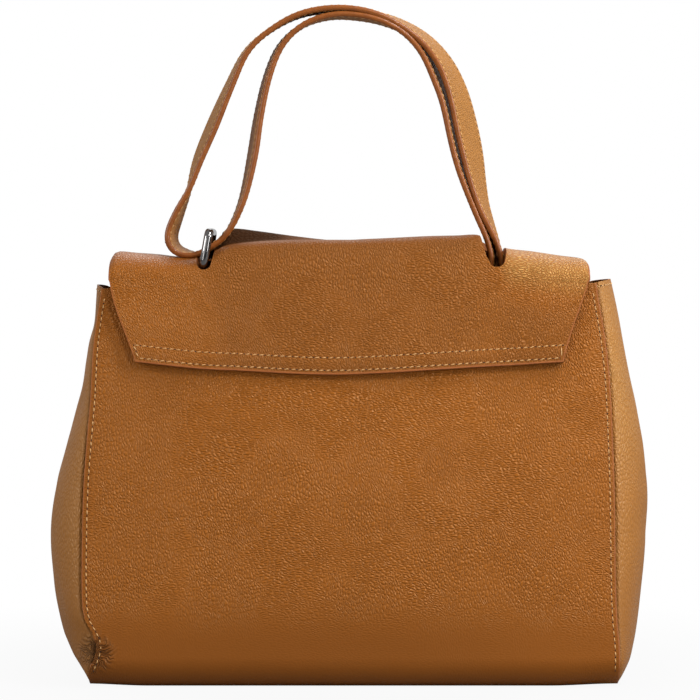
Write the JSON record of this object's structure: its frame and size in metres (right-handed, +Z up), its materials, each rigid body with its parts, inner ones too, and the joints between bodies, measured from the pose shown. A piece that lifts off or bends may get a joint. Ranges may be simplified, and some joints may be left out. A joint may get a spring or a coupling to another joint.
{
  "type": "handbag",
  "caption": "Structured leather handbag with a full front flap, bulging gussets and a looped strap threaded through metal rings.",
  "frame": {"origin": "middle of the footprint, on the surface that the bag stands on", "axes": "+X to the right of someone who looks at the front, front towards -Y, +Z up"},
  "size_m": [0.36, 0.14, 0.4017],
  "materials": {
    "tan_leather": "pebbled, semi-matt",
    "gusset_leather": "pebbled, soft, semi-matt",
    "strap_leather": "pebbled faces, glossy painted edges",
    "facing_leather": "smooth, matt",
    "lining_cloth": "twill weave",
    "zip_tape": "woven tape with metal teeth",
    "board": "raw board",
    "gunmetal": "polished dark plating",
    "steel": "plain steel"
  },
  "bodies": {
    "bag": {"body_wrap": "tan_leather", "gusset_left": "gusset_leather", "gusset_right": "gusset_leather", "base_board": "board", "lining": "lining_cloth", "facing_front": "facing_leather", "facing_back": "facing_leather", "slip_pocket": "lining_cloth", "zip_pocket_bag": "lining_cloth", "zip_tape_upper": "zip_tape", "zip_tape_lower": "zip_tape", "flap_root": "tan_leather", "keeper_left": "steel", "keeper_right": "steel"},
    "flap": {"flap_outer": "tan_leather", "flap_lining": "facing_leather", "crest_stay": "board", "flap_stay": "board", "flap_magnet_left": "steel", "flap_magnet_right": "steel", "chape_left": "facing_leather", "chape_right": "facing_leather", "strap_bend_left": "strap_leather", "strap_bend_right": "strap_leather"},
    "left_ring": {"ring_left": "gunmetal"},
    "right_ring": {"ring_right": "gunmetal"},
    "handle": {"strap_outer_strand": "strap_leather", "strap_inner_strand": "strap_leather"},
    "slider": {"zip_slider": "gunmetal"},
    "pull": {"zip_pull": "gunmetal"}
  },
  "joints": [
    {"name": "flap_open", "type": "hinge", "parent": "bag", "child": "flap", "pos_m": [0, 0.0305, 0.238], "axis": [-1, 0, 0], "range_deg": [0, 120]},
    {"name": "handle_tilt", "type": "hinge", "parent": "flap", "child": "handle", "pos_m": [0, 0, 0.26], "axis": [1, 0, 0], "range_deg": [-45, 45], "deforming": ["strap_bend_left", "strap_bend_right"]},
    {"name": "left_ring_swing", "type": "hinge", "parent": "flap", "child": "left_ring", "pos_m": [-0.0869, 0, 0.2475], "axis": [0, 1, 0], "range_deg": [-12, 6]},
    {"name": "right_ring_swing", "type": "hinge", "parent": "flap", "child": "right_ring", "pos_m": [0.07398, 0, 0.22898], "axis": [0, 1, 0], "range_deg": [-8, 8]},
    {"name": "zip_slide", "type": "slide", "parent": "bag", "child": "slider", "axis": [-1, 0, 0], "range_m": [0, 0.174], "deforming": ["zip_tape_upper", "zip_tape_lower"]},
    {"name": "pull_swing", "type": "hinge", "parent": "slider", "child": "pull", "pos_m": [0.0872, 0.03263, 0.17543], "axis": [0, 0.1824, -0.9832], "range_deg": [0, 150]}
  ]
}
